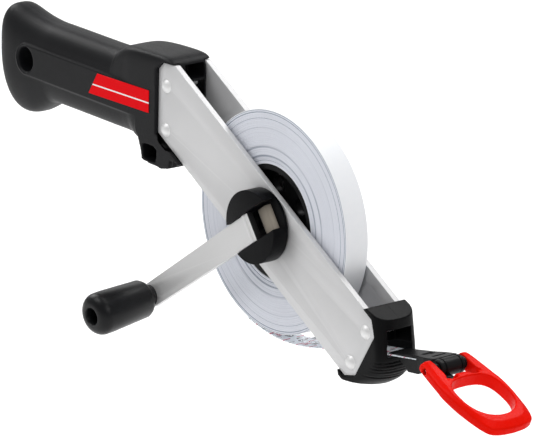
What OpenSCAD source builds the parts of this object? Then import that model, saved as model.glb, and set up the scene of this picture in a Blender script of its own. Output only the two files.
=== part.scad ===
// Open-frame surveyor's tape reel with a folding crank, a plastic handle and a finger ring.
// The handle lies along X, its grip is centred on the origin, and the tape pays out towards +X.
// The reel turns about Y. The crank is on the -Y side, the near side. +Z is up. Millimetres.

/* [Tape] */
// Width of the tape
tape_w = 13; // [10:0.5:13]
// Outer radius of the wound tape
pack_r = 55; // [50:1:55]
// Radius of the hub that the tape is wound on
hub_r = 28.5; // [27:0.5:31]
// Slope of the tape from the reel up to the mouth, in degrees
tape_slope = 9.4; // [9:0.1:9.8]

/* [Side plates] */
// Gap between the two side plates
plate_gap = 16; // [15.5:0.5:16.5]
// Thickness of each side plate
plate_t = 3; // [2.5:0.5:3]
// Slope of the side plates below the handle, in degrees
plate_slope = 30; // [29:1:31]
// Cut corners at the plates' front end
plate_chamfer = 6; // [5:0.5:7]

/* [Handle] */
// Height of the reel axis relative to the handle's centre line
reel_z = -37.6; // [-38.5:0.1:-37]
// Distance from the middle of the grip to the reel axis
reel_x = 150; // [149:1:151]
// Thickness of the grip
grip_w = 25; // [24:1:26]
// Height of the grip
grip_h = 40; // [38:1:41]
// Diameter of the hanging hole near the handle's end
hang_d = 12.5; // [10:0.5:13]

/* [Crank] */
// Diameter of the crank's boss
boss_d = 36; // [34:1:36]
// Distance from the reel axis to the knob's axis
crank_r = 95; // [85:1:97]
// Direction of the crank, in degrees up from +X
crank_angle = 215.6; // [213:0.1:217]
// Length of the knob
knob_len = 34; // [30:1:36]
// Lean of the knob's axis, square to the arm, in degrees
knob_lean = 5.5; // [0:0.5:6]

/* [Finger ring] */
// Distance from the ring's pivot to its outer end
ring_len = 51.5; // [50:0.5:53]
// Overall width of the ring
ring_w = 34.4; // [34:0.2:36]
// Droop of the ring below level, in degrees
ring_droop = 20.5; // [18:0.5:23]

/* [Hidden] */
$fn = 64;

cut = 1;                            // how far a cutter runs past the face that it cuts
close_gap = 0.05;                   // radial gap of a fixed or running fit
gap_y = plate_gap / 2;              // inner face of a side plate
plate_y = gap_y + plate_t;          // outer face of a side plate

// Side plates, about the reel axis: s runs down the slope and n runs square to it
band_top = 17.5;
band_bottom = -20.5;
plate_end = 88.5;
plate_rear_x = -84.5;
plate_top_z = 61.5;
plate_corner = 4;
bearing_r = 10;                     // the bushes' seats in the side plates
journal_r = 8;

// Rivets: two through the handle's head and two through the nose
rivet_r = 2;
rivet_head_r = 3.5;
rivet_head_h = 1.8;
rear_rivets = [[-78.4, 50], [-78.4, 27.8]];
nose_rivets = [band(82.3, 8.7), band(82.3, -11.8)];

// Handle, about its own centre
skin = 3;                           // wall of the two hollow halves
strip_h = 16.6;                     // flat strip along the side, with the hanging hole at its end
head_y = grip_w / 2 + 0.5;          // half the head's width, and the strip's
hang_x = -42.5;
label_t = 0.3;
nose_y = plate_y + 1;               // half the nose's width

// Tape run, about the reel axis: t runs along the tape and w square to it, upwards
tape_t = 0.3;
run_w = -(pack_r + 0.45);           // the fixed run lies just outside the wound tape
lead_w = run_w - 0.6;               // the moving lead lies under it
mouth_t = 79.2;                     // the front of the mouth, measured along the tape
travel = 60;                        // how far the tape's end pulls out
clip_end = mouth_t + 35;            // the ring's pivot
ring_pivot_w = lead_w - 2.55;
clip_w = 11;
clip_top = lead_w + tape_t / 2;

// Crank
boss_front = 20.7;
boss_back = plate_y + 0.8;
slot_w = 14.8;
slot_floor = 13.4;
arm_y = 18.4;                       // the middle of the arm's thickness
arm_t = 3;
arm_w = 14;
arm_tip_w = 12;
pivot_u = 3;                        // the fold's pin, measured from the reel axis along the arm
pin_r = 1;
square_drive = 9;
spindle_r = 2.5;
knob_r = 10.6;
knob_root_r = 9.6;
knob_start = 24;
knob_bore_r = 4;                    // the bore at the knob's outer end, with the spindle's head at its floor
knob_bore_depth = 12;

// Finger ring, about its pivot
barrel_r = 4.4;
barrel_y = 7.2;                     // half the ribbed barrel's length
ring_pin_r = 1.6;
ear_r = 4;
ear_y = 9.3;                        // inner face of each ear
ear_outer_y = 15;
ring_half_t = 3.5;                  // half the ring's thickness

function band(s, n) = [
    s * cos(plate_slope) + n * sin(plate_slope),
    n * cos(plate_slope) - s * sin(plate_slope)
];

function arc(centre, radius, from, to, steps = 8) = [
    for (i = [0 : steps])
        let (a = from + (to - from) * i / steps)
            centre + radius * [cos(a), sin(a)]
];

// ---------- Placing ----------

// Puts a shape drawn about the reel axis in its place
module at_reel() {
    translate([reel_x, 0, reel_z]) children();
}

// Turns a shape drawn along +X into the crank's direction, about the reel axis
module at_crank() {
    at_reel() rotate([0, -crank_angle, 0]) children();
}

// Turns a shape drawn along +X into the tape's direction, about the reel axis
module at_tape() {
    at_reel() rotate([0, -tape_slope, 0]) children();
}

// Leans a shape drawn about the knob's place on the crank, where its axis meets the arm
module lean_knob() {
    translate([crank_r, -arm_y, 0]) rotate([-knob_lean, 0, 0]) translate([0, arm_y, 0]) children();
}

// Puts a shape drawn about the ring's pivot, and along +X, in its place
module at_ring() {
    at_tape() translate([clip_end, 0, ring_pivot_w]) rotate([0, tape_slope + ring_droop, 0]) children();
}

// Extrudes an outline of the side view, drawn in X and Z, between two places across the width
module slab(y_low, y_high) {
    translate([0, y_high, 0]) rotate([90, 0, 0]) linear_extrude(y_high - y_low) children();
}

// Extrudes a cross-section, drawn in Y and Z, between two places along X
module bar(x_low, x_high) {
    translate([x_low, 0, 0]) rotate([90, 0, 90]) linear_extrude(x_high - x_low) children();
}

// A round rod across the width, at a place in X and Z
module cross_rod(radius, y_low, y_high, place = [0, 0]) {
    translate([place[0], 0, place[1]]) slab(y_low, y_high) circle(radius);
}

module near_half_space() {
    translate([-500, -500, -500]) cube([1000, 500, 1000]);
}

module far_half_space() {
    translate([-500, 0, -500]) cube([1000, 500, 1000]);
}

module rounded_rect(width, height, radius) {
    square([width, height - 2 * radius], center = true);
    square([width - 2 * radius, height], center = true);
    for (side = [-1, 1])
        for (end = [-1, 1])
            translate([side * (width / 2 - radius), end * (height / 2 - radius)]) circle(radius);
}

// ---------- Side plates and rivets ----------

module plate_outline() {
    intersection() {
        polygon([
            band(-130, band_bottom),
            band(plate_end - plate_chamfer, band_bottom),
            band(plate_end, band_bottom + plate_chamfer),
            band(plate_end, band_top - plate_chamfer),
            band(plate_end - plate_chamfer, band_top),
            band(-130, band_top)
        ]);
        polygon([
            [plate_rear_x, -80],
            [plate_rear_x, plate_top_z - plate_corner],
            [plate_rear_x + plate_corner, plate_top_z],
            [100, plate_top_z],
            [100, -80]
        ]);
    }
}

module rivet_holes(radius) {
    for (place = concat(rear_rivets, nose_rivets))
        cross_rod(radius, -plate_y - 5, plate_y + 5, place);
}

module side_plate(y_low) {
    difference() {
        slab(y_low, y_low + plate_t) plate_outline();
        rivet_holes(rivet_r + close_gap);
        cross_rod(bearing_r + close_gap, y_low - cut, y_low + plate_t + cut);
    }
}

module near_side_plate() {
    color("silver") at_reel() side_plate(-plate_y);
}

module far_side_plate() {
    color("silver") at_reel() side_plate(gap_y);
}

module rivet_dome(side) {
    sphere_r = (pow(rivet_head_r, 2) + pow(rivet_head_h, 2)) / (2 * rivet_head_h);
    intersection() {
        translate([0, side * (plate_y + rivet_head_h - sphere_r), 0]) sphere(sphere_r);
        rotate([90 * side, 0, 0]) translate([0, 0, -plate_y - 5]) cylinder(r = rivet_head_r + cut, h = 5);
    }
}

module frame_rivets() {
    color("gainsboro") at_reel()
        for (place = concat(rear_rivets, nose_rivets)) {
            cross_rod(rivet_r, -plate_y - 0.5, plate_y + 0.5, place);
            for (side = [-1, 1])
                translate([place[0], 0, place[1]]) rivet_dome(side);
        }
}

// ---------- Handle ----------

// The swollen rear end, with a finger stop below
module pommel_outline(inset = 0) {
    polygon(concat(
        [[-30, 19 - inset], [-42, 20 - inset], [-52, 21.8 - inset]],
        arc([-59, 13], 10.5 - inset, 90, 160, 6),
        arc([-22.5, 3], 48.5 - inset, 165, 211),
        arc([-51, -18.8], 11.7 - inset, 205, 290),
        [[-36, -26 + inset], [-30, -21.5 + inset], [-28, -19 + inset]]
    ));
}

// The swollen end from above, with a round end
module pommel_plan() {
    flat_y = grip_w / 2 - 9;
    polygon(concat(
        arc([-62, flat_y], 9, 90, 180),
        arc([-62, -flat_y], 9, 180, 270),
        [[-20, -grip_w / 2], [-20, grip_w / 2]]
    ));
}

module head_outline() {
    polygon([
        [30, 18.5], [33, 21.4], [40, 24.2], [48, 25.6], [71, 26.4], [77, 24.3], [79, 19], [81, -12],
        [86, -22], [86, -24], [76, -29.6], [68, -30.6], [55.5, -28.6], [53, -20], [48, -18], [40, -strip_h / 2],
        [36, strip_h / 2]
    ]);
}

module handle_envelope() {
    bar(-40, 52) rounded_rect(grip_w, grip_h, 11);
    intersection() {
        slab(-grip_w / 2, grip_w / 2) pommel_outline();
        translate([0, 0, -3.5]) bar(-80, -20) rounded_rect(grip_w, 57, 8);
        translate([0, 0, -40]) linear_extrude(80) pommel_plan();
    }
    intersection() {
        slab(-head_y, head_y) head_outline();
        translate([0, 0, -2]) bar(20, 95) rounded_rect(2 * head_y, 58, 7);
    }
    slab(-head_y, head_y) strip_outline();
}

module strip_outline() {
    translate([hang_x, 0]) circle(strip_h / 2);
    translate([hang_x, -strip_h / 2]) square([60 - hang_x, strip_h]);
}

// The hollow inside, shut off around the hanging hole and behind the plates
module handle_cavity() {
    difference() {
        union() {
            bar(-40, 48) rounded_rect(grip_w - 2 * skin, grip_h - 2 * skin, 8);
            intersection() {
                slab(skin - grip_w / 2, grip_w / 2 - skin) pommel_outline(skin);
                bar(-65, -38) square([grip_w, 70], center = true);
            }
        }
        cross_rod(strip_h / 2, -grip_w, grip_w, [hang_x, 0]);
    }
}

// Moulded pockets that lighten the head
module head_pockets() {
    translate([70, -5.5, 15]) cube([20, 11, 7.5]);
    translate([70, -5.5, -2]) cube([20, 11, 15.4]);
    for (side = [-1, 1])
        translate([60, side * head_y, -24]) cube([9, 8, 8], center = true);
    for (rib = [0 : 2])
        translate([70 + 4.6 * rib, -5.5, -34]) cube([2.6, 11, 9]);
}

module handle_solid() {
    difference() {
        handle_envelope();
        handle_cavity();
        head_pockets();
        cross_rod(hang_d / 2, -20, 20, [hang_x, 0]);
        at_reel() {
            slab(-20, -gap_y) plate_outline();
            slab(gap_y, 20) plate_outline();
            rivet_holes(rivet_r + close_gap);
        }
    }
}

module handle_near_half() {
    color("dimgray") intersection() {
        handle_solid();
        near_half_space();
    }
}

module handle_far_half() {
    color("dimgray") intersection() {
        handle_solid();
        far_half_space();
    }
}

module label_plate() {
    color("red") slab(-head_y - label_t, -head_y)
        polygon([[18.6, 6.9], [60.5, 7.9], [60.5, -3.5], [11.6, -4.7]]);
}

// ---------- Nose ----------

module nose_outline() {
    polygon([
        [76.8, -21.3], [86.8, -25.7], [88.2, -42.6], [88.2, -49], [85.5, -55],
        [79.5, -59.8], [60.5, -61.2], [56.5, -58], [61, -46], [69.5, -30], [74, -22.5]
    ]);
}

// The nose from above, with a rounded front
module nose_plan() {
    polygon(concat([[50, nose_y], [50, -nose_y]], arc([71.3, 0], 16.9, -45, 45)));
}

module nose_solid() {
    difference() {
        at_reel() intersection() {
            slab(-nose_y, nose_y) nose_outline();
            translate([0, 0, -70]) linear_extrude(60) nose_plan();
        }
        at_reel() {
            slab(-20, -gap_y) plate_outline();
            slab(gap_y, 20) plate_outline();
            rivet_holes(rivet_r + close_gap);
        }
        mouth();
        lip_grooves();
    }
}

// The tape's way through the nose, which opens into a tall mouth at the front
module mouth() {
    at_tape() translate([40, -tape_w / 2 - 1, lead_w - 1.2]) cube([60, tape_w + 2, 5]);
    at_reel() slab(-8, 8)
        polygon([[78, -29.5], [90, -29.5], [90, -41], [78, -43.2]]);
}

// Grip lines across the lower front
module lip_grooves() {
    at_reel()
        for (groove = [0 : 3])
            translate([87.9 - 0.8 * groove, 0, -46.6 - 2.4 * groove])
                cube([1.6, 18, 0.9], center = true);
}

module nose_near_half() {
    color("#222222") intersection() {
        nose_solid();
        near_half_space();
    }
}

module nose_far_half() {
    color("#222222") intersection() {
        nose_solid();
        far_half_space();
    }
}

// ---------- Reel ----------

module bush(side) {
    flange_t = 0.6;
    flange_y = side < 0 ? -gap_y : gap_y - flange_t;
    difference() {
        union() {
            cross_rod(bearing_r, min(side * gap_y, side * plate_y), max(side * gap_y, side * plate_y));
            cross_rod(bearing_r + 2.5, flange_y, flange_y + flange_t);
        }
        cross_rod(journal_r + close_gap, -30, 30);
    }
}

module near_bush() {
    color("ivory") at_reel() bush(-1);
}

module far_bush() {
    color("ivory") at_reel() bush(1);
}

module square_hole(size) {
    slab(-30, 30) square(size, center = true);
}

module reel_hub() {
    half_w = tape_w / 2;
    web_t = 4;
    color("#2a2a2a") at_crank() difference() {
        union() {
            difference() {
                cross_rod(hub_r, -half_w, half_w);
                cross_rod(hub_r - 3, -half_w - cut, half_w + cut);
            }
            cross_rod(hub_r - 2, -web_t / 2, web_t / 2);
            cross_rod(12, -half_w, half_w);
        }
        square_hole(square_drive + 2 * close_gap);
        for (hole = [0 : 5])
            cross_rod(4, -half_w, half_w, 18.5 * [cos(60 * hole), sin(60 * hole)]);
    }
}

module tape_pack() {
    half_w = tape_w / 2 + 0.2;
    color("white") at_reel() difference() {
        cross_rod(pack_r, -half_w, half_w);
        cross_rod(hub_r + close_gap, -half_w - cut, half_w + cut);
    }
}

module crank_boss() {
    color("#222222") at_crank() difference() {
        union() {
            cross_rod(boss_d / 2, -boss_front, -boss_back);
            cross_rod(journal_r, -boss_back, -tape_w / 2);
            slab(-tape_w / 2, tape_w / 2) square(square_drive, center = true);
        }
        translate([-boss_d, -boss_front - cut, -slot_w / 2])
            cube([2 * boss_d, boss_front - slot_floor + cut, slot_w]);
        translate([pivot_u, -arm_y, -boss_d / 2 + 4]) cylinder(r = pin_r + close_gap, h = boss_d - 8);
        cross_rod(2.1, -slot_floor - cut, tape_w / 2 + cut);
    }
}

// Journal on the far side, clamped to the hub by the screw
module reel_end_cap() {
    color("#222222") at_crank() difference() {
        union() {
            cross_rod(journal_r, tape_w / 2 + close_gap, plate_y + 0.5);
            cross_rod(12, plate_y + 0.5, plate_y + 3.5);
        }
        cross_rod(2.1, 0, 40);
        cross_rod(4.5, plate_y + 1, 40);
    }
}

module reel_screw() {
    color("gray") at_crank() difference() {
        union() {
            cross_rod(2, -slot_floor + 2, plate_y + 1);
            cross_rod(4, plate_y + 1, plate_y + 3.3);
        }
        translate([0, plate_y + 3.3, 0]) cube([10, 2.4, 1.2], center = true);
    }
}

// ---------- Crank ----------

module crank_pivot_pin() {
    color("gray") at_crank()
        translate([pivot_u, -arm_y, -boss_d / 2 + 4]) cylinder(r = pin_r, h = boss_d - 8);
}

// A bowed steel strip in the boss's slot, on the side away from the knob
module detent_spring() {
    strip_t = 0.5;
    color("goldenrod") at_crank() translate([0, 0, -5.5]) linear_extrude(11) polygon([
        [-16.5, -slot_floor], [-15.5, -slot_floor], [-13.5, -16.2 + strip_t], [-6.5, -16.2 + strip_t],
        [-3.4, -15 + strip_t], [-3.2, -15], [-6.3, -16.2], [-14, -16.2]
    ]);
}

module crank_arm() {
    tip_r = arm_tip_w / 2;
    tail = 4.2;
    knuckle_r = 2;
    color("lightgray") at_crank() difference() {
        union() {
            slab(-arm_y - arm_t / 2, -arm_y + arm_t / 2) {
                polygon([
                    [pivot_u - tail, -arm_w / 2], [crank_r, -tip_r], [crank_r, tip_r],
                    [pivot_u - tail, arm_w / 2]
                ]);
                translate([crank_r, 0]) circle(tip_r);
            }
            translate([pivot_u, -arm_y, -arm_w / 2]) cylinder(r = knuckle_r, h = arm_w);
        }
        translate([pivot_u, -arm_y, -arm_w]) cylinder(r = pin_r + close_gap, h = 2 * arm_w);
        lean_knob() cross_rod(spindle_r + close_gap, -30, 0);
    }
}

// Riveted into the arm: the knob turns on it, between its collar and its head
module knob_spindle() {
    outer_y = knob_start + knob_len;
    arm_front = -arm_y - arm_t / 2;
    arm_back = -arm_y + arm_t / 2;
    color("gray") at_crank() {
        lean_knob() {
            cross_rod(spindle_r, -outer_y + knob_bore_depth, arm_back);
            cross_rod(knob_bore_r - 0.4, -outer_y + knob_bore_depth - 2, -outer_y + knob_bore_depth);
        }
        intersection() {
            lean_knob() cross_rod(5.5, -knob_start + 0.3, -arm_y);
            translate([0, arm_front - 20, -20]) cube([2 * crank_r, 20, 40]);
        }
        intersection() {
            lean_knob() cross_rod(3.6, -arm_y, arm_back + 1.2);
            translate([0, arm_back, -20]) cube([2 * crank_r, 20, 40]);
        }
    }
}

module crank_knob() {
    end_r = 4;
    outer_y = knob_start + knob_len;
    color("#222222") at_crank() lean_knob() difference() {
        rotate([90, 0, 0]) rotate_extrude() polygon(concat(
            [[0, knob_start], [knob_root_r - 2, knob_start], [knob_root_r, knob_start + 2]],
            arc([knob_r - end_r, outer_y - end_r], end_r, 0, 90, 6),
            [[0, outer_y]]
        ));
        cross_rod(spindle_r + close_gap, -outer_y - cut, 0);
        cross_rod(knob_bore_r, -outer_y - cut, -outer_y + knob_bore_depth + close_gap);
    }
}

// ---------- Tape end ----------

module tape_run() {
    color("white") at_tape() translate([0, -tape_w / 2, run_w - tape_t / 2])
        cube([mouth_t - 2, tape_w, tape_t]);
}

module tape_lead() {
    color("white") at_tape() translate([mouth_t - travel - 5, -tape_w / 2, lead_w - tape_t / 2])
        cube([travel + 25, tape_w, tape_t]);
}

// A tongue that lies on the tape, with a deeper block below it, and ends at the ring's barrel
module tape_clip() {
    clip_back = clip_end - barrel_r - 0.1;
    color("#222222") at_tape() difference() {
        union() {
            slab(-clip_w / 2, clip_w / 2) polygon([
                [mouth_t - 1.5, clip_top], [mouth_t + 21, clip_top], [mouth_t + 21, clip_top - 0.5],
                [mouth_t + 6.4, clip_top - 0.5], [mouth_t + 12.2, clip_top - 7.2],
                [clip_back - 0.6, clip_top - 7.4], [clip_back, clip_top + 1.8], [mouth_t - 1.5, clip_top + 1.3]
            ]);
            slab(-barrel_y, barrel_y) polygon([
                [mouth_t + 24, clip_top - 2], [clip_back - 0.6, clip_top - 7.4], [clip_back, clip_top + 1.8],
                [mouth_t + 24, clip_top + 1.6]
            ]);
        }
        cross_rod(1.05, -20, 20, [mouth_t + 23, clip_top - 4]);
    }
}

module clip_rivet() {
    color("gray") at_tape() cross_rod(1, -clip_w / 2 + 0.3, clip_w / 2 - 0.3, [mouth_t + 23, clip_top - 4]);
}

// The ribbed barrel that the ring's pin runs through, with a collar at each end
module ring_barrel() {
    color("#222222") at_ring() difference() {
        union() {
            cross_rod(barrel_r - 0.4, -barrel_y, barrel_y);
            cross_rod(ring_pin_r + 1.4, -ear_y + 0.3, ear_y - 0.3);
            for (rib = [-2 : 2])
                translate([0, 2.8 * rib, 0]) cross_rod(barrel_r, -0.9, 0.9);
        }
        cross_rod(ring_pin_r + close_gap, -20, 20);
    }
}

// The small hook below the barrel, which catches an edge or a nail
module zero_hook() {
    color("#222222") at_tape() translate([clip_end, 0, ring_pivot_w]) slab(-6.5, -1.5) polygon([
        [-9, -4.65], [-5.1, -4.7], [0.9, -4.7], [2.6, -4], [3.9, -2.9], [5.6, -3.7], [4.2, -5.4],
        [1.5, -6], [-4.5, -6.1], [-9, -5.6]
    ]);
}

module ring_pin() {
    color("silver") at_ring() cross_rod(ring_pin_r, -ear_outer_y + 1.6, ear_outer_y - 1.6);
}

module ring_plan() {
    half = ring_w / 2;
    difference() {
        polygon([
            [0, -ear_outer_y], [5.5, -half + 0.7], [15.5, -half], [23.5, -half + 0.2], [31.5, -half + 1.1],
            [39.5, -half + 2.2], [45.5, -half + 3.8], [49, -half + 5.6], [ring_len - 0.6, -half + 9],
            [ring_len, 0],
            [ring_len - 0.6, half - 9], [49, half - 5.6], [45.5, half - 3.8], [39.5, half - 2.2],
            [31.5, half - 1.1], [23.5, half - 0.2], [15.5, half], [5.5, half - 0.7], [0, ear_outer_y]
        ]);
        ring_window();
        translate([-10, -ear_y]) square([19.1, 2 * ear_y]);
    }
}

module ring_window() {
    polygon(concat(
        [[12.5, -5], [14, -9.5], [17, -12.4], [21, -13.6]],
        arc([27.9, 0], 13.5, -80, 80, 14),
        [[21, 13.6], [17, 12.4], [14, 9.5], [12.5, 5]]
    ));
}

module pull_ring() {
    color("red") at_ring() difference() {
        union() {
            translate([0, 0, -ring_half_t]) linear_extrude(2 * ring_half_t) ring_plan();
            for (side = [-1, 1])
                cross_rod(ear_r, side < 0 ? -ear_outer_y : ear_y, side < 0 ? -ear_y : ear_outer_y);
        }
        cross_rod(ring_pin_r + close_gap, -20, 20);
    }
}

// ---------- The assembly ----------

near_side_plate();
far_side_plate();
frame_rivets();
handle_near_half();
handle_far_half();
label_plate();
nose_near_half();
nose_far_half();
near_bush();
far_bush();
tape_run();
reel_hub();
tape_pack();
crank_boss();
reel_end_cap();
reel_screw();
crank_pivot_pin();
detent_spring();
crank_arm();
knob_spindle();
crank_knob();
tape_lead();
tape_clip();
clip_rivet();
ring_barrel();
zero_hook();
ring_pin();
pull_ring();
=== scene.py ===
import math
import random

import bmesh
import bpy
from mathutils import Matrix, Vector


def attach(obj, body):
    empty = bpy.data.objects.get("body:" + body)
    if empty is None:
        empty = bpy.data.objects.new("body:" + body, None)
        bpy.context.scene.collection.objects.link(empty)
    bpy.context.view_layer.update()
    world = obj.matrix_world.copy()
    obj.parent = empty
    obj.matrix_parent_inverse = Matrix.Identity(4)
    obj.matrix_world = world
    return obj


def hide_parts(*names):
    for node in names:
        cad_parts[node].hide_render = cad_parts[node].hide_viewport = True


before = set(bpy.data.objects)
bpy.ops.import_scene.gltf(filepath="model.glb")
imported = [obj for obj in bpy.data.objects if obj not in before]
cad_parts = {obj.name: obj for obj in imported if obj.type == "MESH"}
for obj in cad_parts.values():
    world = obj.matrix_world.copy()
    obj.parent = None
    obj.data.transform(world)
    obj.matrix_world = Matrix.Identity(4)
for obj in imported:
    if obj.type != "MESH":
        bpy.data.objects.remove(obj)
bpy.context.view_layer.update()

# Looks of an open-frame surveyor's tape reel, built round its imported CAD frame. Shapes are drawn in
# millimetres in the frame's own axes, and scaled to metres when they become pieces: +X is the way
# the tape pulls out, -Y is the crank's side, +Z is up, and the origin is the middle of the grip.

MM = 0.001
TO_MM = Matrix.Scale(1 / MM, 4)
TO_METRES = Matrix.Scale(MM, 4)
NO_MOVE = Matrix.Identity(4)
CUT = 1.0  # how far a cutter runs past the face that it cuts
SIDES = (-1, 1)

# Reel and side plates
REEL_X, REEL_Z = 150.0, -37.6
PLATE_SLOPE = 30.0
PLATE_INNER_Y, PLATE_OUTER_Y = 8.0, 11.0
BAND_TOP, BAND_BOTTOM = 17.5, -20.5
PLATE_END, PLATE_CHAMFER = 88.5, 6.0
PLATE_REAR_X, PLATE_TOP_Z, PLATE_CORNER = -84.5, 61.5, 4.0
HUB_R, PACK_R, PACK_HALF_W = 28.5, 55.0, 6.7

# Handle
STRIP_HALF_H = 8.3
HEAD_HALF_W = 13.0
HANG_X, HANG_R = -42.5, 6.25

# Crank
CRANK_ANGLE, CRANK_R = 215.6, 95.0
ARM_Y = 18.4
KNOB_LEAN = 5.5
KNOB_START, KNOB_END = 24.0, 58.0
KNOB_R, KNOB_ROOT_R = 10.6, 9.6
SPINDLE_BORE_R, KNOB_BORE_R, KNOB_BORE_DEPTH = 2.55, 4.0, 12.0

# Tape end
TAPE_SLOPE = 9.4
TAPE_HALF_W, TAPE_THICK = 6.5, 0.3
LEAD_W = -56.05
MOUTH_T = 79.2
CLIP_END, CLIP_TOP = 114.2, -55.9
PIVOT_W = -58.6
RING_DROOP = 20.5
BARREL_R, BARREL_HALF_W, RING_PIN_R = 4.4, 7.2, 1.6
EAR_R, EAR_INNER_Y, EAR_OUTER_Y = 4.4, 9.3, 15.0


# ---------- Placing ----------

def place(x=0.0, z=0.0, tilt=0.0):
    """Moves a shape to a place in the side view and tilts it by so many degrees up from +X."""
    return Matrix.Translation((x, 0, z)) @ Matrix.Rotation(math.radians(-tilt), 4, "Y")


AT_REEL = place(REEL_X, REEL_Z)
AT_CRANK = AT_REEL @ place(tilt=CRANK_ANGLE)
AT_TAPE = AT_REEL @ place(tilt=TAPE_SLOPE)
AT_RING = AT_TAPE @ place(CLIP_END, PIVOT_W, -TAPE_SLOPE - RING_DROOP)
ON_ARM = Matrix.Translation((CRANK_R, -ARM_Y, 0))
LEAN = Matrix.Rotation(math.radians(-KNOB_LEAN), 4, "X")
AT_KNOB = AT_CRANK @ ON_ARM @ LEAN @ Matrix.Translation((0, ARM_Y, 0))


def on_band(along, across):
    """A point of the sloping plates: along the slope, and square to it, from the reel's axis."""
    slope = math.radians(PLATE_SLOPE)
    return (
        along * math.cos(slope) + across * math.sin(slope),
        across * math.cos(slope) - along * math.sin(slope),
    )


def arc(centre, radius, start, end, steps=12):
    """Points of an arc, in degrees."""
    angles = [math.radians(start + (end - start) * i / steps) for i in range(steps + 1)]
    return [(centre[0] + radius * math.cos(a), centre[1] + radius * math.sin(a)) for a in angles]


def smooth_table(rows, steps):
    """Rows of numbers joined by a smooth curve through each of them, with steps points per row."""
    padded = [rows[0]] + list(rows) + [rows[-1]]
    made = []
    for i in range(1, len(padded) - 2):
        for k in range(steps):
            t = k / steps
            made.append([
                0.5 * (2 * b + (c - a) * t + (2 * a - 5 * b + 4 * c - d) * t * t
                       + (3 * b - a - 3 * c + d) * t ** 3)
                for a, b, c, d in zip(*padded[i - 1:i + 3])
            ])
    return made + [list(rows[-1])]


# ---------- Solids ----------

def solid(points, faces, matrix=NO_MOVE):
    mesh = bpy.data.meshes.new("solid")
    mesh.from_pydata([matrix @ Vector(p) for p in points], [], faces)
    shape = bmesh.new()
    shape.from_mesh(mesh)
    bmesh.ops.recalc_face_normals(shape, faces=shape.faces)
    shape.to_mesh(mesh)
    shape.free()
    made = bpy.data.objects.new("solid", mesh)
    bpy.context.collection.objects.link(made)
    return made


def loft(rings, matrix=NO_MOVE, closed=False):
    """A skin over rings of as many points each. It closes on itself, or has a face at each end."""
    count = len(rings[0])
    points = [p for ring in rings for p in ring]
    last = len(rings) if closed else len(rings) - 1
    faces = []
    for i in range(last):
        here, there = i * count, (i + 1) % len(rings) * count
        for j in range(count):
            k = (j + 1) % count
            faces.append((here + j, here + k, there + k, there + j))
    if not closed:
        faces.append(tuple(range(count)))
        faces.append(tuple(range(len(points) - count, len(points))))
    return solid(points, faces, matrix)


def prism(outline, y_low, y_high, matrix=NO_MOVE):
    """Extrudes an outline of the side view, in X and Z, across the width."""
    return loft([[(x, y, z) for x, z in outline] for y in (y_low, y_high)], matrix)


def plan_prism(outline, z_low, z_high, matrix=NO_MOVE):
    """Extrudes an outline of the plan, in X and Y, upwards."""
    return loft([[(x, y, z) for x, y in outline] for z in (z_low, z_high)], matrix)


def block(x, y, z, matrix=NO_MOVE):
    """A box between pairs of coordinates."""
    return prism([(x[0], z[0]), (x[1], z[0]), (x[1], z[1]), (x[0], z[1])], y[0], y[1], matrix)


def turned(profile, matrix=NO_MOVE, centre=(0.0, 0.0), closed=False, segments=64):
    """Turns a profile of radius and Y about a line across the width."""
    rings = []
    for radius, y in profile:
        circle = arc(centre, max(radius, 0.01), 0, 360 - 360 / segments, segments - 1)
        rings.append([(x, y, z) for x, z in circle])
    return loft(rings, matrix, closed)


def rod(radius, y_low, y_high, matrix=NO_MOVE):
    """A round rod across the width."""
    return turned([(radius, y_low), (radius, y_high)], matrix)


def settle(made):
    """Makes what the object's modifiers show its own mesh."""
    shown = made.evaluated_get(bpy.context.evaluated_depsgraph_get())
    mesh = bpy.data.meshes.new_from_object(shown)
    made.modifiers.clear()
    made.data = mesh
    return made


def combine(base, others, operation):
    for other in others:
        modifier = base.modifiers.new("combine", "BOOLEAN")
        modifier.operation = operation
        modifier.solver = "EXACT"
        modifier.object = other
    settle(base)
    for other in others:
        bpy.data.objects.remove(other)
    return base


def carve(base, *cutters):
    return combine(base, cutters, "DIFFERENCE")


def merge(base, *others):
    return combine(base, others, "UNION")


def keep_inside(base, *others):
    return combine(base, others, "INTERSECT")


def join(base, *others):
    """Puts separate solids into one mesh."""
    shape = bmesh.new()
    for made in (base, *others):
        shape.from_mesh(made.data)
    shape.to_mesh(base.data)
    shape.free()
    for made in others:
        bpy.data.objects.remove(made)
    return base


def duplicate(made):
    copy = bpy.data.objects.new("solid", made.data.copy())
    bpy.context.collection.objects.link(copy)
    return copy


def moulded(made, voxel, passes):
    """Rounds every edge and fills every inner corner a little, as in a moulded part."""
    remesh = made.modifiers.new("remesh", "REMESH")
    remesh.mode = "VOXEL"
    remesh.voxel_size = voxel
    smooth = made.modifiers.new("smooth", "SMOOTH")
    smooth.factor = 0.5
    smooth.iterations = passes
    return settle(made)


def bevelled(made, width, segments=2):
    """Bevels the edges that turn by more than 30 degrees."""
    bevel = made.modifiers.new("bevel", "BEVEL")
    bevel.width = width
    bevel.segments = segments
    bevel.limit_method = "ANGLE"
    bevel.angle_limit = math.radians(30)
    bevel.use_clamp_overlap = True
    return settle(made)


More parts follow.
